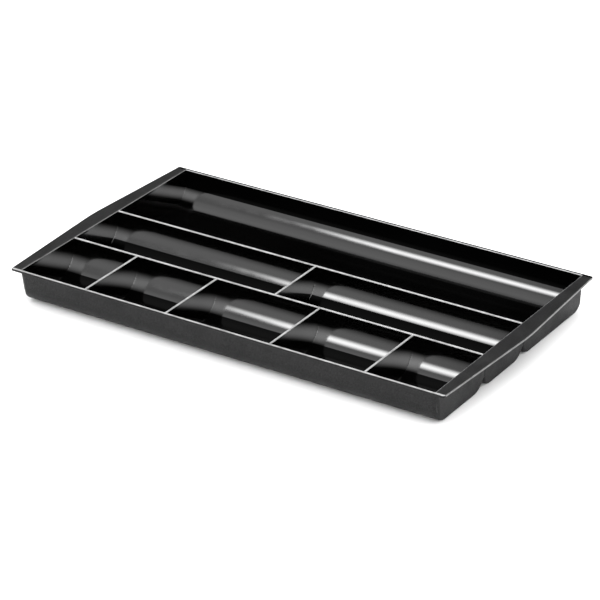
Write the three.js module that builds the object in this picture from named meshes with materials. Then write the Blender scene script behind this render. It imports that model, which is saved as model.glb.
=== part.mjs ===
// A drawer tray with eight open compartments, moulded in one piece from black plastic.
// Three scooped troughs run from left to right. The front one is split into five compartments
// and the middle one into two. A flange at each end hangs the tray on the ledges of a drawer.
//
// The moulding is one piece. It is described here as its named regions, which meet face to face:
// floors, coves, walls, partitions, dividers, rims and flanges.
//
// Millimetres. X runs left to right, Y from the front to the back, Z up.
// Sections are drawn in Y and Z, with Y counted from the inner edge of the front rim, and are
// extruded along X. The origin of the finished part is at the middle of its underside.
import * as THREE from "three";

// Driving dimensions
const INNER_LENGTH = 384; // between the end walls
const HEIGHT = 30; // from the underside to the top of the rim
const WALL = 1.8; // thickness of floors, walls, partitions, rims and flanges
const DIVIDER_THICKNESS = 1.6;
const FRONT_TROUGH_WIDTH = 71.6;
const MIDDLE_TROUGH_WIDTH = 59.9;
const REAR_TROUGH_WIDTH = 98;
const FRONT_DIVIDER_X = [-129, -51.5, 45.5, 130.5];
const MIDDLE_DIVIDER_X = 3;

// The front wall leans outwards towards the rim.
const FRONT_LEAN = 5; // how far the inside of the front wall moves over the whole height
const FRONT_WALL_COVE = 13.2; // inner radius where the front wall meets the floor

// Each trough is scooped: a wide cove at its back and a tighter one at its front.
const BACK_COVE = 16; // inner radius at the back of every trough
const FRONT_COVE = 11; // inner radius at the front of the middle and rear troughs
const BACK_COVE_OUTSIDE = 15; // the same corners, seen from below
const FRONT_COVE_OUTSIDE = 11.8;
const REAR_CORNER_OUTSIDE = 13; // the outside of the back wall's foot
const NOTCH_HEIGHT = 9; // the groove under each partition, between two troughs

const FRONT_RIM_REACH = 2.8; // from the inner edge of the front rim to its outer edge
const BACK_RIM_REACH = 3;
const FLANGE_WIDTH_AT_CORNERS = 9; // from the inside of the end wall
const FLANGE_WIDTH_AT_KINK = 15.5;
const KINK_Y = 118; // where the flange is widest

const ARC_STEPS = 8;

// Worked out from the driving dimensions
const HALF_LENGTH = INNER_LENGTH / 2;
const END_OUTSIDE = HALF_LENGTH + WALL;
const HALF_WALL = WALL / 2;
const RIM_BOTTOM = HEIGHT - WALL;
const FRONT_PARTITION_Y = FRONT_TROUGH_WIDTH + HALF_WALL;
const REAR_PARTITION_Y = FRONT_PARTITION_Y + WALL + MIDDLE_TROUGH_WIDTH;
const INNER_DEPTH = REAR_PARTITION_Y + HALF_WALL + REAR_TROUGH_WIDTH;
const BACK_OUTSIDE = INNER_DEPTH + WALL;
const MIDDLE_Y = (INNER_DEPTH + BACK_RIM_REACH - FRONT_RIM_REACH) / 2;
const FOOT_TOP = WALL + BACK_COVE;

const LEAN_ANGLE = Math.atan(FRONT_LEAN / HEIGHT);
const frontWallInside = (z) => (FRONT_LEAN * (HEIGHT - z)) / HEIGHT;
const frontWallOutside = (z) => frontWallInside(z) - WALL / Math.cos(LEAN_ANGLE);
const FRONT_COVE_CENTRE_Z = WALL + FRONT_WALL_COVE;
const FRONT_COVE_CENTRE_Y =
  frontWallInside(FRONT_COVE_CENTRE_Z) + FRONT_WALL_COVE / Math.cos(LEAN_ANGLE);

const DOWN = (3 * Math.PI) / 2; // direction angles, from +Y towards +Z
const FORWARD = Math.PI;
const BACKWARD = 2 * Math.PI;
const TO_FRONT_WALL = Math.PI + LEAN_ANGLE; // square to the leaning front wall

const glossBlack = new THREE.MeshStandardMaterial({
  color: 0x060606,
  roughness: 0.12,
  metalness: 0,
});
const grainedBlack = new THREE.MeshStandardMaterial({
  color: 0x1c1c1d,
  roughness: 0.6,
  metalness: 0,
});

// Points of an arc in a section, both ends included.
function arc(centreY, centreZ, radius, from, to) {
  const points = [];
  for (let i = 0; i <= ARC_STEPS; i++) {
    const angle = from + ((to - from) * i) / ARC_STEPS;
    points.push([
      centreY + radius * Math.cos(angle),
      centreZ + radius * Math.sin(angle),
    ]);
  }
  return points;
}

const tray = new THREE.Group();
tray.position.y = -MIDDLE_Y;

function add(name, geometry, material) {
  const mesh = new THREE.Mesh(geometry, material);
  mesh.name = name;
  tray.add(mesh);
  return mesh;
}

// A section of [y, z] points, extruded along X from one place to another.
const sectionToTray = new THREE.Matrix4().makeBasis(
  new THREE.Vector3(0, 1, 0),
  new THREE.Vector3(0, 0, 1),
  new THREE.Vector3(1, 0, 0),
);
function addSection(name, section, fromX, toX, material) {
  const shape = new THREE.Shape(section.map(([y, z]) => new THREE.Vector2(y, z)));
  const options = { depth: toX - fromX, bevelEnabled: false, curveSegments: 1 };
  const geometry = new THREE.ExtrudeGeometry(shape, options);
  geometry.applyMatrix4(sectionToTray);
  add(name, geometry, material).position.x = fromX;
}

// The same, over the whole length between the end walls.
function addLengthwise(name, section, material) {
  addSection(name, section, -HALF_LENGTH, HALF_LENGTH, material);
}

const rectangle = (y0, y1, z0, z1) => [[y0, z0], [y1, z0], [y1, z1], [y0, z1]];

// Arcs of the inside surface
const frontWallCoveInside = () =>
  arc(FRONT_COVE_CENTRE_Y, FRONT_COVE_CENTRE_Z, FRONT_WALL_COVE, TO_FRONT_WALL, DOWN);
const frontWallCoveOutside = () =>
  arc(FRONT_COVE_CENTRE_Y, FRONT_COVE_CENTRE_Z, FRONT_WALL_COVE + WALL, TO_FRONT_WALL, DOWN);
const backCoveInside = (wallY) =>
  arc(wallY - BACK_COVE, WALL + BACK_COVE, BACK_COVE, DOWN, BACKWARD);
const frontCoveInside = (wallY) =>
  arc(wallY + FRONT_COVE, WALL + FRONT_COVE, FRONT_COVE, FORWARD, DOWN);
const backWallFootOutside = () =>
  arc(BACK_OUTSIDE - REAR_CORNER_OUTSIDE, REAR_CORNER_OUTSIDE, REAR_CORNER_OUTSIDE, DOWN, BACKWARD);

// The groove under a partition: two arcs that rise from the underside and meet at its top.
function notch(partitionY) {
  const turn = (radius) => Math.acos((radius - NOTCH_HEIGHT) / radius);
  const rise = turn(BACK_COVE_OUTSIDE);
  const fall = turn(FRONT_COVE_OUTSIDE);
  const risingY = partitionY - BACK_COVE_OUTSIDE * Math.sin(rise);
  const fallingY = partitionY + FRONT_COVE_OUTSIDE * Math.sin(fall);
  const up = arc(risingY, BACK_COVE_OUTSIDE, BACK_COVE_OUTSIDE, DOWN, DOWN + rise);
  const down = arc(fallingY, FRONT_COVE_OUTSIDE, FRONT_COVE_OUTSIDE, DOWN - fall, DOWN);
  return [...up, ...down.slice(1)];
}

// Floors: the flat strips between the coves, which the tray stands on
const floors = {
  front: [FRONT_COVE_CENTRE_Y, FRONT_TROUGH_WIDTH - BACK_COVE],
  middle: [
    FRONT_PARTITION_Y + HALF_WALL + FRONT_COVE,
    REAR_PARTITION_Y - HALF_WALL - BACK_COVE,
  ],
  rear: [REAR_PARTITION_Y + HALF_WALL + FRONT_COVE, INNER_DEPTH - BACK_COVE],
};
for (const [trough, [fromY, toY]] of Object.entries(floors)) {
  addLengthwise(`${trough}_floor`, rectangle(fromY, toY, 0, WALL), glossBlack);
}

// Front wall with its cove and rim
addLengthwise(
  "front_cove",
  [...frontWallCoveOutside(), ...frontWallCoveInside().reverse()],
  grainedBlack,
);
addLengthwise(
  "front_wall",
  [
    frontWallCoveOutside()[0],
    frontWallCoveInside()[0],
    [frontWallInside(RIM_BOTTOM), RIM_BOTTOM],
    [frontWallOutside(RIM_BOTTOM), RIM_BOTTOM],
  ],
  grainedBlack,
);
addLengthwise(
  "front_rim",
  [
    [-FRONT_RIM_REACH, RIM_BOTTOM],
    [frontWallInside(RIM_BOTTOM), RIM_BOTTOM],
    [0, HEIGHT],
    [-FRONT_RIM_REACH, HEIGHT],
  ],
  grainedBlack,
);

// Partitions between the troughs, each on a foot that joins the coves of its two troughs
for (const [name, y] of [
  ["front_partition", FRONT_PARTITION_Y],
  ["rear_partition", REAR_PARTITION_Y],
]) {
  addLengthwise(
    `${name}_foot`,
    [
      [y - HALF_WALL - BACK_COVE, 0],
      ...notch(y),
      [y + HALF_WALL + FRONT_COVE, 0],
      ...frontCoveInside(y + HALF_WALL).reverse(),
      [y + HALF_WALL, FOOT_TOP],
      ...backCoveInside(y - HALF_WALL).reverse(),
    ],
    glossBlack,
  );
  addLengthwise(name, rectangle(y - HALF_WALL, y + HALF_WALL, FOOT_TOP, HEIGHT), glossBlack);
}

// Back wall with its cove and rim
addLengthwise(
  "back_cove",
  [
    [INNER_DEPTH - BACK_COVE, 0],
    ...backWallFootOutside(),
    [BACK_OUTSIDE, FOOT_TOP],
    ...backCoveInside(INNER_DEPTH).reverse(),
  ],
  glossBlack,
);
addLengthwise("back_wall", rectangle(INNER_DEPTH, BACK_OUTSIDE, FOOT_TOP, RIM_BOTTOM), glossBlack);
addLengthwise(
  "back_rim",
  rectangle(INNER_DEPTH, INNER_DEPTH + BACK_RIM_REACH, RIM_BOTTOM, HEIGHT),
  grainedBlack,
);

// Dividers: plates that fill the section of their trough
const frontTroughSection = [
  [0, HEIGHT],
  ...frontWallCoveInside(),
  ...backCoveInside(FRONT_TROUGH_WIDTH),
  [FRONT_TROUGH_WIDTH, HEIGHT],
];
const middleTroughSection = [
  [FRONT_PARTITION_Y + HALF_WALL, HEIGHT],
  ...frontCoveInside(FRONT_PARTITION_Y + HALF_WALL),
  ...backCoveInside(REAR_PARTITION_Y - HALF_WALL),
  [REAR_PARTITION_Y - HALF_WALL, HEIGHT],
];
function addDivider(name, section, middleX) {
  const half = DIVIDER_THICKNESS / 2;
  addSection(name, section, middleX - half, middleX + half, glossBlack);
}
FRONT_DIVIDER_X.forEach((x, i) => addDivider(`front_divider_${i + 1}`, frontTroughSection, x));
addDivider("middle_divider", middleTroughSection, MIDDLE_DIVIDER_X);

// End walls: three lobes, one for each trough, with the grooves between them, up to the rim
const endWallSection = [
  [-FRONT_RIM_REACH, HEIGHT],
  [-FRONT_RIM_REACH, RIM_BOTTOM],
  [frontWallOutside(RIM_BOTTOM), RIM_BOTTOM],
  ...frontWallCoveOutside(),
  ...notch(FRONT_PARTITION_Y),
  ...notch(REAR_PARTITION_Y),
  ...backWallFootOutside(),
  [BACK_OUTSIDE, RIM_BOTTOM],
  [INNER_DEPTH + BACK_RIM_REACH, RIM_BOTTOM],
  [INNER_DEPTH + BACK_RIM_REACH, HEIGHT],
];
addSection("left_end_wall", endWallSection, -END_OUTSIDE, -HALF_LENGTH, grainedBlack);
addSection("right_end_wall", endWallSection, HALF_LENGTH, END_OUTSIDE, grainedBlack);

// End flanges: flat plates outside the end walls in line with the rim, widest near their middle
const cornerX = HALF_LENGTH + FLANGE_WIDTH_AT_CORNERS;
const flangeOutline = [
  [END_OUTSIDE, -FRONT_RIM_REACH],
  [cornerX, -FRONT_RIM_REACH],
  [HALF_LENGTH + FLANGE_WIDTH_AT_KINK, KINK_Y],
  [cornerX, INNER_DEPTH + BACK_RIM_REACH],
  [END_OUTSIDE, INNER_DEPTH + BACK_RIM_REACH],
];
function addFlange(name, side) {
  const outline = flangeOutline.map(([x, y]) => new THREE.Vector2(side * x, y));
  const options = { depth: WALL, bevelEnabled: false };
  const geometry = new THREE.ExtrudeGeometry(new THREE.Shape(outline), options);
  add(name, geometry, grainedBlack).position.z = RIM_BOTTOM;
}
addFlange("left_flange", -1);
addFlange("right_flange", 1);

const part = new THREE.Group();
part.add(tray);

export default part;
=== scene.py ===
import math

import bmesh
import bpy
from mathutils import Matrix, Vector


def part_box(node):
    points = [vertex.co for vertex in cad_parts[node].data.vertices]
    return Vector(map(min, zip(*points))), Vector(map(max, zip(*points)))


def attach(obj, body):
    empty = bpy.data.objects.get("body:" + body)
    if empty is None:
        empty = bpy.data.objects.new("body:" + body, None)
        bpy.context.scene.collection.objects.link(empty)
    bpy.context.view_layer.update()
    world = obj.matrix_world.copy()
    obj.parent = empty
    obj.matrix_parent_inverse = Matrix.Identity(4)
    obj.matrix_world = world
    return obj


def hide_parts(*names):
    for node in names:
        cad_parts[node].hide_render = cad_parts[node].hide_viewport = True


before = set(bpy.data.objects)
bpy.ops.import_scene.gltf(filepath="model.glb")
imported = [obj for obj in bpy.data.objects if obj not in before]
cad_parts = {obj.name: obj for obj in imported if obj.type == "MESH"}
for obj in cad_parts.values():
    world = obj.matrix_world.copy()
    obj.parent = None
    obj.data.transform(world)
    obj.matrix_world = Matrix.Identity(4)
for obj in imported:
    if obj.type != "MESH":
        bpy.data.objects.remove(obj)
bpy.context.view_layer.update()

MM = 0.001

# ---------------------------------------------------------------- dimensions


def low(node):
    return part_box(node)[0] / MM


def high(node):
    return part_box(node)[1] / MM


TOP = high("front_partition").z
RIM_BOTTOM = low("front_rim").z
WALL = high("front_floor").z
INSIDE_X = low("right_end_wall").x
OUTSIDE_X = high("right_end_wall").x
RIM_FRONT = low("front_rim").y
RIM_BACK = high("back_rim").y
FRONT_IN = low("front_divider_1").y
BACK_IN = low("back_wall").y
BACK_OUT = high("back_wall").y
PARTITION_1 = (low("front_partition").y, high("front_partition").y)
PARTITION_2 = (low("rear_partition").y, high("rear_partition").y)
CORNER_X = high("front_rim").x + 9.0  # outer end of the rim's corners
KINK_X = high("right_flange").x
KINK_Y = 1.35
FRONT_COVE = low("middle_floor").y - PARTITION_1[1]
FRONT_WALL_COVE = 13.2
DEEP_COVE = 27.0  # the back of the front and middle troughs: one sweep up to the lip
REAR_COVE = 22.0
FRONT_LEAN = math.atan(5.0 / TOP)
FRONT_WALL_COVE_OUTSIDE = 15.0
BACK_COVE_OUTSIDE = 15.0
FRONT_COVE_OUTSIDE = 11.8
REAR_CORNER_OUTSIDE = 13.0
NOTCH_HEIGHT = 9.0
BACK_DRAFT = 0.8  # the outside of the back wall leans in by this much towards its foot
END_DRAFT = 0.8  # and so do the outsides of the end walls

RUN_SLOPE = math.radians(7.0)  # slope of the floor where it meets the wide cove
RUN_LENGTH = 9.0  # the floor rises over this length before a cove
FACE_LEAN = 1.6  # dividers and end walls are this much thicker at the floor, for mould draft
LIP_RADIUS = 0.85
EDGE_RADIUS = 0.5
CORNER_RADIUS = 5.0  # outer upright corners
FOOT_RADIUS = 2.4  # lower edges of the end walls
FILLET_AT_RIM = 0.3  # fillets beside the dividers and end walls grow with depth
FILLET_AT_FLOOR = 0.5
EMBED = 0.3  # how far a piece reaches into the one it grows from
HOLD = 0.5  # a short flat step beside each curve keeps the shading of the flats true
CURVE_STEPS = 22
FILLET_STEPS = 10
NOTCH_STEPS = 14
LIP_STEPS = 10
ROUND_STEPS = 6  # steps in each quarter turn of a round edge
CORNER_BLEND_FRONT = 12.0  # the upright corners' rounding applies this near the front wall
CORNER_BLEND_BACK = 14.0  # and this near the back wall
CORNER_BLEND_START = 3.0  # it grows from this height
CORNER_BLEND_RISE = 9.0  # to its full size over this rise
RIM_CORNER = 2.0  # rounding of the rims' outer corners
FRONT_RIM_FOOT = 5.0  # how far the front rim's inside leans in over the full depth
KINK_SOFTENING = 0.35  # how much the flange's kink is rounded off
KINK_REACH = 6.0

# ---------------------------------------------------------------- outlines in Y and Z


def arc(centre_y, centre_z, radius, start, end, steps=CURVE_STEPS):
    """Points of an arc, with angles in degrees from +Y towards +Z."""
    points = []
    for i in range(steps + 1):
        angle = math.radians(start + (end - start) * i / steps)
        points.append((centre_y + radius * math.cos(angle), centre_z + radius * math.sin(angle)))
    return points


def line(a, b, steps=1):
    """Points from a to b, with a short hold step at both ends."""
    length = math.dist(a, b)
    hold = min(HOLD / length, 0.25)
    shares = [0.0] + [hold + (1 - 2 * hold) * i / steps for i in range(steps + 1)] + [1.0]
    return [(a[0] + (b[0] - a[0]) * s, a[1] + (b[1] - a[1]) * s) for s in shares]


def joined(*runs):
    """Runs of points end to end, without repeated points."""
    points = []
    for run in runs:
        for p in run:
            if not points or math.dist(points[-1], p) > 1e-6:
                points.append(p)
    return points


def rising(low_y, end_y, slope, steps=8):
    """The floor's rise from its level part at low_y to a cove at end_y, where it has the given slope."""
    length = abs(end_y - low_y)
    points = []
    for i in range(steps + 1):
        share = i / steps
        height = math.tan(slope) * length / 2 * share * share
        points.append((low_y + (end_y - low_y) * share, WALL + height))
    return points


def trough(y_front, y_back, front_radius, back_radius, lean):
    """The inside of a trough, from its front top edge down and up to its back top edge."""
    slope = RUN_SLOPE
    rise = math.tan(slope) * RUN_LENGTH / 2
    lean_shift = math.tan(lean)
    front_z = WALL + rise + front_radius * math.cos(slope)
    front_y = y_front + lean_shift * (TOP - front_z) + front_radius / math.cos(lean)
    rim_z = TOP - LIP_RADIUS
    back_z = WALL + rise + back_radius * math.cos(slope)
    open_turn = math.asin(max(back_z - rim_z, 0.0) / back_radius)
    back_y = y_back - back_radius * math.cos(open_turn)
    degrees = math.degrees(slope)
    front_arc = arc(front_y, front_z, front_radius, 180 + math.degrees(lean), 270 - degrees)
    back_arc = arc(back_y, back_z, back_radius, 270 + degrees, 360 - math.degrees(open_turn))
    upright = [] if open_turn else line(back_arc[-1], (y_back, rim_z), 3)[1:]
    front_low = front_arc[-1][0] + RUN_LENGTH
    back_low = back_arc[0][0] - RUN_LENGTH
    return joined(
        line((y_front, rim_z), front_arc[0], 3)[:-1],
        front_arc,
        rising(front_low, front_arc[-1][0], slope)[::-1],
        rising(back_low, back_arc[0][0], slope),
        back_arc,
        upright,
    )


FRONT_START = FRONT_IN + math.tan(FRONT_LEAN) * LIP_RADIUS
FRONT_INSIDE = trough(FRONT_START, PARTITION_1[0], FRONT_WALL_COVE, DEEP_COVE, FRONT_LEAN)
MIDDLE_INSIDE = trough(PARTITION_1[1], PARTITION_2[0], FRONT_COVE, DEEP_COVE, 0.0)
REAR_INSIDE = trough(PARTITION_2[1], BACK_IN, FRONT_COVE, REAR_COVE, 0.0)


def notch(partition):
    """The groove under a partition: the run that rises to its top, and the run that falls from it."""
    y = (partition[0] + partition[1]) / 2
    rise = math.acos((BACK_COVE_OUTSIDE - NOTCH_HEIGHT) / BACK_COVE_OUTSIDE)
    fall = math.acos((FRONT_COVE_OUTSIDE - NOTCH_HEIGHT) / FRONT_COVE_OUTSIDE)
    up = arc(y - BACK_COVE_OUTSIDE * math.sin(rise), BACK_COVE_OUTSIDE, BACK_COVE_OUTSIDE,
             270, 270 + math.degrees(rise), NOTCH_STEPS)
    down = arc(y + FRONT_COVE_OUTSIDE * math.sin(fall), FRONT_COVE_OUTSIDE, FRONT_COVE_OUTSIDE,
               270 - math.degrees(fall), 270, NOTCH_STEPS)
    return up, down


def front_outside():
    """The outside of the front wall, from the rim down to the floor."""
    centre_z = WALL + FRONT_WALL_COVE
    inside_y = FRONT_IN + math.tan(FRONT_LEAN) * (TOP - centre_z)
    centre_y = inside_y + FRONT_WALL_COVE / math.cos(FRONT_LEAN)
    lean = math.degrees(FRONT_LEAN)
    cove = arc(centre_y, centre_z, FRONT_WALL_COVE_OUTSIDE, 180 + lean, 270)
    top_y = cove[0][0] - math.tan(FRONT_LEAN) * (RIM_BOTTOM - cove[0][1])
    return joined(line((top_y, RIM_BOTTOM), cove[0], 4)[:-1], cove)


def back_outside():
    """The outside of the back wall, from the floor up to the rim."""
    foot_y = BACK_OUT - BACK_DRAFT
    lean = math.degrees(math.atan(BACK_DRAFT / (RIM_BOTTOM - REAR_CORNER_OUTSIDE)))
    cove = arc(foot_y - REAR_CORNER_OUTSIDE, REAR_CORNER_OUTSIDE, REAR_CORNER_OUTSIDE, 270, 360 - lean)
    return joined(cove, line(cove[-1], (BACK_OUT, RIM_BOTTOM), 4)[1:])


NOTCH_1 = notch(PARTITION_1)
NOTCH_2 = notch(PARTITION_2)
FRONT_UNDER = joined(front_outside(), line(front_outside()[-1], NOTCH_1[0][0], 2), NOTCH_1[0])
MIDDLE_UNDER = joined(NOTCH_1[1], line(NOTCH_1[1][-1], NOTCH_2[0][0], 2), NOTCH_2[0])
REAR_UNDER = joined(NOTCH_2[1], line(NOTCH_2[1][-1], back_outside()[0], 2), back_outside())


def normals(points):
    """Unit normals of an open run of points, to its left as it is walked."""
    found = []
    for i in range(len(points)):
        a = points[max(i - 1, 0)]
        b = points[min(i + 1, len(points) - 1)]
        dy, dz = b[0] - a[0], b[1] - a[1]
        length = math.hypot(dy, dz)
        found.append((-dz / length, dy / length))
    return found


# ---------------------------------------------------------------- shells


class Piece:
    """Closed shells in millimetres, gathered into one mesh object."""

    def __init__(self, name):
        self.name = name
        self.points = []
        self.faces = []
        self.finishes = []

    def face(self, corners, finish):
        self.faces.append(corners)
        self.finishes.append(finish)

    def loft(self, loops, finishes, ladder=None):
        """Joins closed loops of the same length, and closes both ends.

        finishes has one finish for each step round a loop. A ladder closes the ends with rungs between the
        first and last halves of a loop, and gives the finish of both ends. Otherwise each end is one face.
        """
        start = len(self.points)
        count = len(loops[0])
        for loop in loops:
            self.points.extend(loop)
        for row in range(len(loops) - 1):
            base = start + row * count
            for i in range(count):
                j = (i + 1) % count
                self.face((base + i, base + j, base + count + j, base + count + i), finishes[i])
        for end, base in enumerate((start, start + (len(loops) - 1) * count)):
            if ladder is None:
                self.face(tuple(base + i for i in range(count)), finishes[-1])
                continue
            for i in range(count // 2 - 1):
                rung = (base + i, base + i + 1, base + count - 2 - i, base + count - 1 - i)
                self.face(rung, ladder[end])

    def build(self, slot, *nodes):
        mesh = bpy.data.meshes.new(self.name)
        mesh.from_pydata([Vector(p) * MM for p in self.points], [], self.faces)
        names = sorted(set(self.finishes))
        for finish in names:
            mesh.materials.append(MATERIALS[finish])
        for polygon, finish in zip(mesh.polygons, self.finishes):
            polygon.material_index = names.index(finish)
        work = bmesh.new()
        work.from_mesh(mesh)
        bmesh.ops.remove_doubles(work, verts=work.verts, dist=1e-7)
        bmesh.ops.dissolve_degenerate(work, edges=work.edges, dist=1e-7)
        bmesh.ops.recalc_face_normals(work, faces=work.faces)
        work.to_mesh(mesh)
        work.free()
        mesh.shade_smooth()
        mesh.set_sharp_from_angle(angle=math.radians(32))
        obj = bpy.data.objects.new(self.name, mesh)
        bpy.context.scene.collection.objects.link(obj)
        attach(obj, "root")
        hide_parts(*nodes)
        return obj


# ---------------------------------------------------------------- materials


def node_material(name):
    material = bpy.data.materials.new(name)
    material.use_nodes = True
    tree = material.node_tree
    return material, tree, tree.nodes["Principled BSDF"]


def add_noise(tree, scale, detail, roughness=0.5):
    """Noise that lies in the object's own space."""
    place = tree.nodes.new("ShaderNodeTexCoord")
    noise = tree.nodes.new("ShaderNodeTexNoise")
    noise.inputs["Scale"].default_value = scale
    noise.inputs["Detail"].default_value = detail
    noise.inputs["Roughness"].default_value = roughness
    tree.links.new(place.outputs["Object"], noise.inputs["Vector"])
    return noise


def ranged(tree, source, low_value, high_value, from_low=0.35, from_high=0.65):
    """Maps a noise to a range of values."""
    node = tree.nodes.new("ShaderNodeMapRange")
    node.inputs["From Min"].default_value = from_low
    node.inputs["From Max"].default_value = from_high
    node.inputs["To Min"].default_value = low_value
    node.inputs["To Max"].default_value = high_value
    tree.links.new(source, node.inputs["Value"])
    return node.outputs["Result"]


def ramp(tree, source, dark, light):
    node = tree.nodes.new("ShaderNodeValToRGB")
    node.color_ramp.elements[0].position = 0.35
    node.color_ramp.elements[1].position = 0.65
    node.color_ramp.elements[0].color = (*dark, 1)
    node.color_ramp.elements[1].color = (*light, 1)
    tree.links.new(source, node.inputs["Fac"])
    return node.outputs["Color"]


def add_bump(tree, shader, sources):
    """Bumps in a row, each a (source, strength, height in metres)."""
    previous = None
    for source, strength, height in sources:
        bump = tree.nodes.new("ShaderNodeBump")
        bump.inputs["Strength"].default_value = strength
        bump.inputs["Distance"].default_value = height
        tree.links.new(source, bump.inputs["Height"])
        if previous is not None:
            tree.links.new(previous.outputs["Normal"], bump.inputs["Normal"])
        previous = bump
    tree.links.new(previous.outputs["Normal"], shader.inputs["Normal"])


def gloss_black(name, mirror):
    """Polished mould surface: deep black, with a faint long wave and slow changes of gloss."""
    material, tree, shader = node_material(name)
    tone = add_noise(tree, 9.0, 3.0)
    colour = ramp(tree, tone.outputs["Fac"], (0.0004,) * 3, (0.0008,) * 3)
    tree.links.new(colour, shader.inputs["Base Color"])
    haze = add_noise(tree, 60.0, 4.0, 0.6)
    tree.links.new(ranged(tree, haze.outputs["Fac"], 0.08, 0.12), shader.inputs["Roughness"])
    shader.inputs["IOR"].default_value = 1.5
    shader.inputs["Specular IOR Level"].default_value = mirror
    wave = add_noise(tree, 28.0, 1.0)
    add_bump(tree, shader, [(wave.outputs["Fac"], 0.25, 0.0003)])
    return material


def grained_black(name, mirror):
    """Spark-eroded mould surface: dark grey-black with a fine speckled grain."""
    material, tree, shader = node_material(name)
    tone = add_noise(tree, 900.0, 3.0, 0.7)
    colour = ramp(tree, tone.outputs["Fac"], (0.0023, 0.0023, 0.0024), (0.0175, 0.0175, 0.0179))
    tree.links.new(colour, shader.inputs["Base Color"])
    scuff = add_noise(tree, 35.0, 5.0, 0.6)
    tree.links.new(ranged(tree, scuff.outputs["Fac"], 0.40, 0.56), shader.inputs["Roughness"])
    shader.inputs["IOR"].default_value = 1.5
    shader.inputs["Specular IOR Level"].default_value = mirror
    grain = add_noise(tree, 1300.0, 2.0, 0.6)
    add_bump(tree, shader, [(grain.outputs["Fac"], 0.5, 0.0002)])
    return material


def painted_highlight_edge(name, dark, light, rough):
    """The rounded top edges: a pale satin grey painted in as a highlight, where the rounded edges catch
    the lights.
    """
    material, tree, shader = node_material(name)
    highlight_noise = add_noise(tree, 120.0, 4.0, 0.7)
    tree.links.new(ramp(tree, highlight_noise.outputs["Fac"], dark, light), shader.inputs["Base Color"])
    gloss = add_noise(tree, 300.0, 3.0)
    roughness = ranged(tree, gloss.outputs["Fac"], rough - 0.06, rough + 0.06)
    tree.links.new(roughness, shader.inputs["Roughness"])
    shader.inputs["IOR"].default_value = 1.5
    scratch = add_noise(tree, 900.0, 2.0)
    add_bump(tree, shader, [(scratch.outputs["Fac"], 0.2, 0.0001)])
    return material


MATERIALS = {
    "gloss": gloss_black("gloss_black", 0.5),
    "floor": gloss_black("gloss_black_floor", 0.02),
    "grain": grained_black("grained_black", 0.15),
    "top": grained_black("grained_black_top", 0.5),
    # lip and edge are painted highlights: lighter greys on the rounded lips and edges in place of the
    # light they reflect.
    "lip": painted_highlight_edge("lip_painted_highlight", (0.2,) * 3, (0.38,) * 3, 0.35),
    "edge": painted_highlight_edge("edge_painted_highlight", (0.07,) * 3, (0.15,) * 3, 0.35),
}

# ---------------------------------------------------------------- troughs


def end_x(z):
    """Half the outside length at a height, with the draft of the end walls."""
    return OUTSIDE_X - END_DRAFT * (RIM_BOTTOM - min(z, RIM_BOTTOM)) / RIM_BOTTOM


def corner_radius(y, z):
    """The outer rounding towards the end walls: large on the upright corners, small underneath."""
    upright = min(max((z - CORNER_BLEND_START) / CORNER_BLEND_RISE, 0.0), 1.0)
    on_front_or_back = y < FRONT_IN + CORNER_BLEND_FRONT or y > BACK_OUT - CORNER_BLEND_BACK
    blend = upright * upright * (3 - 2 * upright) if on_front_or_back else 0.0
    return FOOT_RADIUS + (CORNER_RADIUS - FOOT_RADIUS) * blend


def inset(x, y, z):
    """How far the outside draws in near an end, to round it."""
    radius = corner_radius(y, z)
    reach = abs(x) - (end_x(z) - radius)
    if reach <= 0:
        return 0.0
    reach = min(reach, radius)
    return radius - math.sqrt(radius * radius - reach * reach)


def lip_half(partition, side):
    """Half of a partition's round top. side is -1 for its front half and 1 for its back half."""
    middle = (partition[0] + partition[1]) / 2
    half = (partition[1] - partition[0]) / 2
    start, end = (90, 180) if side < 0 else (0, 90)
    points = []
    for y, z in arc(0, 0, 1, start, end, ROUND_STEPS):
        points.append((middle + half * y, TOP - LIP_RADIUS + LIP_RADIUS * z))
    return points


END_STATIONS = [INSIDE_X - CORNER_RADIUS - 0.5 + 0.5 * i for i in range(12)]
STATIONS = [-x for x in reversed(END_STATIONS)] + END_STATIONS
STATIONS = sorted(set(round(min(max(x, -INSIDE_X), INSIDE_X), 4) for x in STATIONS))


def trough_piece(name, top_run, under, polished, nodes):
    """A trough as one lengthwise shell: inside, lips and underside.

    Its inside is polished between two heights and duller below and above them.
    """
    under_normals = normals(under)
    piece = Piece(name)
    loops = []
    for x in STATIONS:
        loop = [(x, y, z) for y, z in top_run]
        for (y, z), (ny, nz) in zip(under, under_normals):
            depth = inset(x, y, z)
            loop.append((x, y + ny * depth, z + nz * depth))
        loops.append(loop)
    finishes = []
    for i, (y, z) in enumerate(top_run):
        following = top_run[min(i + 1, len(top_run) - 1)]
        on_lip = z > TOP - LIP_RADIUS - 0.01 and following[1] > TOP - LIP_RADIUS - 0.01
        height = (z + following[1]) / 2
        inner = "gloss" if polished[0] < height < polished[1] else "floor"
        # the partitions' round lips get the pale painted highlight
        finishes.append("lip" if on_lip and i < len(top_run) - 1 else inner)
    finishes += ["grain"] * len(under)
    piece.loft(loops, finishes)
    return piece.build("gloss_interior", *nodes)


# Heights between which each trough is polished. They are fitted to where the reflections stop in the main
# view. The real inside is probably one even gloss.
FRONT_POLISHED = (6.0, TOP)
MIDDLE_POLISHED = (8.5, TOP)
REAR_POLISHED = (2.2, 15.0)

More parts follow.
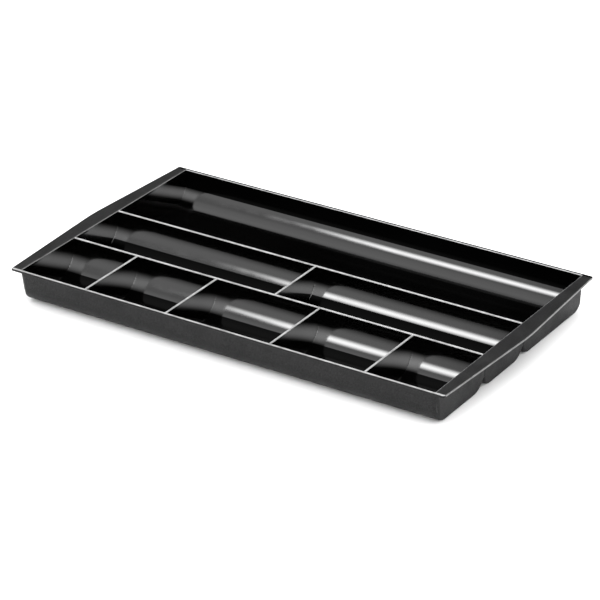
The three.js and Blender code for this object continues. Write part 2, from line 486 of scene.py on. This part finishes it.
# Every loop runs over the top from back to front, then under the trough from front to back.
front_over = joined(
    lip_half(PARTITION_1, -1),
    [p for p in reversed(FRONT_INSIDE) if p[0] > FRONT_IN + 3 or p[1] < RIM_BOTTOM],
    [(FRONT_IN + math.tan(FRONT_LEAN) * (TOP - RIM_BOTTOM), RIM_BOTTOM)],
)
middle_over = joined(lip_half(PARTITION_2, -1), MIDDLE_INSIDE[::-1], lip_half(PARTITION_1, 1))
rear_over = joined(
    [(BACK_IN, RIM_BOTTOM)],
    [p for p in reversed(REAR_INSIDE) if p[0] < BACK_IN - 3 or p[1] < RIM_BOTTOM],
    lip_half(PARTITION_2, 1),
)

trough_piece("front_trough", front_over, FRONT_UNDER, FRONT_POLISHED,
             ["front_floor", "front_cove", "front_wall", "front_partition_foot", "front_partition"])
trough_piece("middle_trough", middle_over, MIDDLE_UNDER, MIDDLE_POLISHED,
             ["middle_floor", "rear_partition_foot", "rear_partition"])
trough_piece("rear_trough", rear_over, REAR_UNDER, REAR_POLISHED,
             ["rear_floor", "back_cove", "back_wall"])

# ---------------------------------------------------------------- dividers


def fillet_radius(z):
    """Fillets beside dividers and end walls: a little larger at the floor than at the rim."""
    share = min(max((TOP - z - 4) / 16, 0.0), 1.0)
    return FILLET_AT_RIM + (FILLET_AT_FLOOR - FILLET_AT_RIM) * share * share * (3 - 2 * share)


def face_lean(z):
    """How much further out a leaning face stands at a height than at the top."""
    return FACE_LEAN * (TOP - z) / (TOP - WALL)


def fillet_run(radius, steps=FILLET_STEPS):
    """(distance out from the plate, height over the trough) from the toe up to the plate."""
    run = []
    for i in range(steps + 1):
        angle = math.radians(90 * i / steps)
        run.append((radius * (1 - math.sin(angle)), radius * (1 - math.cos(angle))))
    return run


def divider(name, inside):
    """A plate across a trough, with a round lip and fillets that run into the trough."""
    box_low, box_high = low(name), high(name)
    middle = (box_low.x + box_high.x) / 2
    half = (box_high.x - box_low.x) / 2
    y_first, y_last = inside[0][0] - 0.4, inside[-1][0] + 0.4
    inward = [(-y, -z) for y, z in normals(list(reversed(inside)))][::-1]
    piece = Piece(name)
    loops = []
    along = 0.0
    total = sum(math.dist(a, b) for a, b in zip(inside, inside[1:]))
    for i, ((y, z), (ny, nz)) in enumerate(zip(inside, inward)):
        if i:
            along += math.dist(inside[i - 1], (y, z))
        top_y = y_first + (y_last - y_first) * along / total
        run = fillet_run(fillet_radius(z))
        foot = half + face_lean(z)
        side = [(out + foot, y + ny * up, z + nz * up) for out, up in run]
        out, face_y, face_z = side[-1]
        rim_z = TOP - LIP_RADIUS
        reach = max(math.dist((face_y, face_z), (top_y, rim_z)), 1e-6)
        hold = min(HOLD / reach, 0.3)
        side.append((foot + (half - foot) * hold, face_y + (top_y - face_y) * hold,
                     face_z + (rim_z - face_z) * hold))
        side.append((half, top_y, rim_z))
        toe = side[0]
        buried = (toe[0], y - ny * EMBED, z - nz * EMBED)
        lip = [(half * math.cos(a), top_y, rim_z + LIP_RADIUS * math.sin(a))
               for a in (math.radians(180 * k / LIP_STEPS) for k in range(1, LIP_STEPS))]
        right = [buried] + side
        left = [(-x, ly, lz) for x, ly, lz in reversed(right)]
        loops.append([(middle + x, ly, lz) for x, ly, lz in right + lip + left])
    lip_start = len(run) + 2
    finishes = []
    for k in range(len(loops[0])):
        # the divider's round lip gets the pale painted highlight
        finishes.append("lip" if lip_start <= k < lip_start + LIP_STEPS else "gloss")
    piece.loft(loops, finishes)
    return piece.build("gloss_interior", name)


for number in range(1, 5):
    divider(f"front_divider_{number}", FRONT_INSIDE)
divider("middle_divider", MIDDLE_INSIDE)

# ---------------------------------------------------------------- end walls

CREASE_DEPTH = 0.35
CREASE_WIDTH = 0.9
APEXES = [(p[0] + p[1]) / 2 for p in (PARTITION_1, PARTITION_2)]


def outline_with_fans():
    """The end wall's outline and its inward normals, with a fan of normals at the top of each notch."""
    runs = [FRONT_UNDER, MIDDLE_UNDER, REAR_UNDER]
    points, ways = [], []
    for number, run in enumerate(runs):
        run_normals = normals(run)
        if number:
            before = math.atan2(ways[-1][1], ways[-1][0])
            after = math.atan2(run_normals[0][1], run_normals[0][0])
            for k in range(1, 6):
                angle = before + (after - before) * k / 6
                points.append(run[0])
                ways.append((math.cos(angle), math.sin(angle)))
        for p, way in zip(run, run_normals):
            points.append(p)
            ways.append(way)
    return points, ways


def end_wall(name, side):
    """The outer skin of an end wall with its lobes and rounded edges, and its face inside each trough."""
    piece = Piece(name)
    points, ways = outline_with_fans()
    loops = []
    steps = 9
    for k in range(steps + 1):
        rim, ladder_top = [], []
        for (y, z), (ny, nz) in zip(points, ways):
            radius = corner_radius(y, z)
            start = math.asin(min(max((INSIDE_X - end_x(z) + radius) / radius, 0.0), 1.0))
            angle = start + (math.pi / 2 - start) * k / steps
            depth = radius * (1 - math.cos(angle))
            new_y, new_z = y + ny * depth, z + nz * depth
            x = end_x(z) - radius + radius * math.sin(angle)
            groove = 0.0
            for apex in APEXES:
                nearness = math.exp(-(((new_y - apex) / CREASE_WIDTH) ** 2))
                groove += CREASE_DEPTH * nearness * (k / steps) ** 4
            rim.append((side * (x - groove), new_y, new_z))
            top_x = x + (end_x(RIM_BOTTOM) - end_x(z)) * (k / steps)
            ladder_top.append((side * (top_x - groove), new_y, RIM_BOTTOM))
        loops.append(rim + ladder_top[::-1])
    piece.loft(loops, ["grain"] * len(loops[0]), ladder=("gloss", "grain"))
    for inside in (FRONT_INSIDE, MIDDLE_INSIDE, REAR_INSIDE):
        inward = [(-y, -z) for y, z in normals(list(reversed(inside)))][::-1]
        y_first, y_last = inside[0][0] - EMBED, inside[-1][0] + EMBED
        total = sum(math.dist(a, b) for a, b in zip(inside, inside[1:]))
        along = 0.0
        strips = []
        for i, ((y, z), (ny, nz)) in enumerate(zip(inside, inward)):
            if i:
                along += math.dist(inside[i - 1], (y, z))
            top_y = y_first + (y_last - y_first) * along / total
            foot = INSIDE_X - face_lean(z)
            strip = [(foot - out, y + ny * up, z + nz * up) for out, up in fillet_run(fillet_radius(z))]
            strip.append((INSIDE_X - 0.05, top_y, RIM_BOTTOM))
            strip.append((INSIDE_X + EMBED, top_y, RIM_BOTTOM))
            strip.append((INSIDE_X + EMBED, y - ny * EMBED, z - nz * EMBED))
            strip.append((strip[0][0], y - ny * EMBED, z - nz * EMBED))
            strips.append([(side * x, sy, sz) for x, sy, sz in strip])
        piece.loft(strips, ["gloss"] * len(strips[0]))
    return piece.build("grained_exterior", name)


end_wall("left_end_wall", -1)
end_wall("right_end_wall", 1)

# ---------------------------------------------------------------- rims and flanges


def flange_x(y):
    """The outer edge of a flange: widest at its kink."""
    if y < KINK_Y:
        share = (y - RIM_FRONT) / (KINK_Y - RIM_FRONT)
    else:
        share = (RIM_BACK - y) / (RIM_BACK - KINK_Y)
    return CORNER_X + (KINK_X - CORNER_X) * share


def rounded_plate(inner, outer, inner_radius, outer_radius):
    """A plate's section from inner to outer, as (across, height, finish), with round edges."""
    run = [(inner, RIM_BOTTOM, "gloss"), (inner, TOP - inner_radius - HOLD / 2, "gloss")]
    way = 1 if outer > inner else -1
    for i in range(ROUND_STEPS + 1):
        angle = math.radians(180 - 90 / ROUND_STEPS * i)
        run.append((inner + way * inner_radius * (1 + math.cos(angle)),
                    TOP - inner_radius + inner_radius * math.sin(angle), "inner"))
    run.append((inner + way * (inner_radius + HOLD / 2), TOP, "top"))
    run.append((outer - way * (outer_radius + HOLD / 2), TOP, "top"))
    for i in range(ROUND_STEPS + 1):
        angle = math.radians(90 - 90 / ROUND_STEPS * i)
        run.append((outer - way * outer_radius * (1 - math.cos(angle)),
                    TOP - outer_radius + outer_radius * math.sin(angle), "edge"))
    for i in range(ROUND_STEPS + 1):
        angle = math.radians(-90 / ROUND_STEPS * i)
        run.append((outer - way * outer_radius * (1 - math.cos(angle)),
                    RIM_BOTTOM + outer_radius + outer_radius * math.sin(angle), "grain"))
    return run


def flange(name, side):
    near_kink = [KINK_Y + KINK_REACH * share for share in (-1, -1 / 2, -1 / 6, 0, 1 / 6, 1 / 2, 1)]
    ys = [FRONT_IN, FRONT_IN + 40, *near_kink, BACK_IN - 40, BACK_IN]
    loops = []
    for y in ys:
        soft = max(0.0, 1 - abs(y - KINK_Y) / KINK_REACH) * KINK_SOFTENING
        section = rounded_plate(INSIDE_X, flange_x(y) - soft, EDGE_RADIUS, EDGE_RADIUS)
        loops.append([(side * x, y, z) for x, z, finish in section])
    piece = Piece(name)
    # the flange's round edges get the grey painted highlight
    piece.loft(loops, ["edge" if f == "inner" else f for x, z, f in section])
    return piece.build("grained_exterior", name)


flange("left_flange", -1)
flange("right_flange", 1)


def rim(name, inner, outer, foot_inner, tops):
    """A rim over the whole width, with square inner edges beside the flanges and rounded corners.

    tops says which finishes the flat top and the round edges have.
    """
    corner = RIM_CORNER
    way = 1 if outer > inner else -1
    inside = rounded_plate(inner, outer, EDGE_RADIUS, EDGE_RADIUS)
    loops = []
    for step in range(ROUND_STEPS + 1):
        angle = math.radians(90 / ROUND_STEPS * step)
        loops.append((CORNER_X - corner * (1 - math.sin(angle)), corner * (1 - math.cos(angle)), False))
    ends = [(INSIDE_X, 0.0, True), (INSIDE_X, 0.0, False)] + loops
    stations = [(-x, cut, soft) for x, cut, soft in reversed(ends)] + ends
    made = []
    for x, cut, soft in stations:
        loop = []
        for across, z, finish in inside:
            share = (across - inner) / (outer - inner)
            if not soft and share < 0.5 and abs(x) >= INSIDE_X:
                across = inner
                z = TOP if z > RIM_BOTTOM + 0.1 else z
                share = 0.0
            if share < 0.01 and soft and z < TOP - EDGE_RADIUS:
                across = inner + foot_inner * (TOP - z) / TOP
            new_x = x
            if abs(x) > CORNER_X - corner - 0.01:
                new_x = math.copysign(abs(x) + flange_x(across) - CORNER_X, x)
            loop.append((new_x, across - way * cut * min(share * 2, 1.0), z))
        made.append(loop)
    piece = Piece(name)
    piece.loft(made, [tops.get(f, f) for a, z, f in inside])
    return piece.build("grained_exterior", name)


# The front rim's top and inner edge, and the back rim's inner edge, get the pale painted highlight.
rim("front_rim", FRONT_IN, RIM_FRONT, FRONT_RIM_FOOT, {"top": "lip", "inner": "lip", "edge": "grain"})
rim("back_rim", BACK_IN, RIM_BACK, 0.0, {"top": "floor", "inner": "lip", "edge": "floor"})

# ---------------------------------------------------------------- floor, camera and lights


def studio_floor():
    work = bmesh.new()
    bmesh.ops.create_grid(work, x_segments=8, y_segments=8, size=3.0)
    mesh = bpy.data.meshes.new("studio_floor")
    work.to_mesh(mesh)
    work.free()
    material, tree, shader = node_material("pale_floor")
    tone = add_noise(tree, 2.0, 2.0)
    colour = ramp(tree, tone.outputs["Fac"], (0.86,) * 3, (0.87,) * 3)
    tree.links.new(colour, shader.inputs["Base Color"])
    shader.inputs["Roughness"].default_value = 0.9
    shader.inputs["Specular IOR Level"].default_value = 0.0
    mesh.materials.append(material)
    floor = bpy.data.objects.new("studio_floor", mesh)
    floor.location.z = -0.0002
    bpy.context.scene.collection.objects.link(floor)


def aimed(obj, place, target):
    obj.location = place
    obj.rotation_euler = (Vector(target) - Vector(place)).to_track_quat("-Z", "Y").to_euler()
    bpy.context.scene.collection.objects.link(obj)
    return obj


def feather(data, edge_x, edge_y):
    """Lets a light fade towards its edges. An edge is the share of the size over which it fades."""
    data.use_nodes = True
    tree = data.node_tree
    place = tree.nodes.new("ShaderNodeNewGeometry")
    split = tree.nodes.new("ShaderNodeSeparateXYZ")
    tree.links.new(place.outputs["Parametric"], split.inputs["Vector"])

    def step(operation, a, b=None):
        node = tree.nodes.new("ShaderNodeMath")
        node.operation = operation
        tree.links.new(a, node.inputs[0])
        if isinstance(b, float):
            node.inputs[1].default_value = b
        elif b is not None:
            tree.links.new(b, node.inputs[1])
        return node.outputs["Value"]

    def fade(place_on_side, edge):
        node = tree.nodes.new("ShaderNodeMapRange")
        node.interpolation_type = "SMOOTHSTEP"
        node.inputs["From Min"].default_value = 0.5
        node.inputs["From Max"].default_value = 0.5 - edge
        from_middle = step("ABSOLUTE", step("SUBTRACT", place_on_side, 0.5))
        tree.links.new(from_middle, node.inputs["Value"])
        return node.outputs["Result"]

    strength = step("MULTIPLY", fade(split.outputs["X"], edge_x), fade(split.outputs["Y"], edge_y))
    tree.links.new(strength, tree.nodes["Emission"].inputs["Strength"])


def card(name, across, climb, width, height, radiance, edges, roll=0.0, distance=2.5):
    """A large soft card that only shows as a reflection. It faces the tray from a mirrored direction.

    across is the direction's share along X. climb turns it from the front horizon (0) over the top to the
    back horizon (180). radiance is what a perfect mirror would show of its middle.
    """
    turn = math.radians(climb)
    rest = math.sqrt(1 - across * across)
    out = Vector((across, -rest * math.cos(turn), rest * math.sin(turn)))
    up = Vector((0, math.sin(turn), math.cos(turn)))
    data = bpy.data.lights.new(name, "AREA")
    data.shape = "RECTANGLE"
    data.size = width
    data.size_y = height
    data.energy = radiance * math.pi * width * height
    feather(data, *edges)
    light = bpy.data.objects.new(name, data)
    light.location = Vector((0, 0, 0.015)) + out * distance
    facing = Matrix((up.cross(out), up, out)).transposed()
    light.rotation_euler = (facing @ Matrix.Rotation(math.radians(roll), 3, "Z")).to_euler()
    light.visible_diffuse = False
    bpy.context.scene.collection.objects.link(light)


def overhead(place, size, radiance):
    """The light that falls on dull surfaces and makes the soft shadow."""
    data = bpy.data.lights.new("overhead", "AREA")
    data.shape = "SQUARE"
    data.size = size
    data.energy = radiance * math.pi * size * size
    light = aimed(bpy.data.objects.new("overhead", data), place, (0, 0, 0))
    light.visible_glossy = False


studio_floor()
CAMERA_TARGET = Vector((0.0256, -0.0420, 0.030))
CAMERA_DISTANCE = 2.329
AZIMUTH = math.radians(32.51)
ELEVATION = math.radians(26.63)
camera_data = bpy.data.cameras.new("camera")
camera_data.sensor_width = 36.0
camera_data.lens = 177.66
away = Vector((math.sin(AZIMUTH) * math.cos(ELEVATION),
               -math.cos(AZIMUTH) * math.cos(ELEVATION),
               math.sin(ELEVATION)))
camera = aimed(bpy.data.objects.new("camera", camera_data),
               CAMERA_TARGET + away * CAMERA_DISTANCE, CAMERA_TARGET)
bpy.context.scene.camera = camera

# The cards are tuned for the main view. From other sides the inside reflects almost nothing.
card("core", -0.39, 56, 0.70, 1.25, 23.0, (0.14, 0.5), -9)
card("left_grey", -0.60, 34, 1.75, 3.0, 2.3, (0.15, 0.45))
card("upper_grey", -0.50, 94, 1.45, 4.3, 2.1, (0.2, 0.42))
card("right_grey", 0.46, 58, 1.3, 3.0, 34.0, (0.25, 0.48))
overhead((0.3, 0.05, 2.4), 2.2, 1.5)

world = bpy.data.worlds.new("white_studio")
world.use_nodes = True
world.node_tree.nodes["Background"].inputs["Color"].default_value = (2.1, 2.1, 2.1, 1)
world.cycles_visibility.glossy = False
bpy.context.scene.world = world
bpy.context.scene.view_settings.view_transform = "Standard"
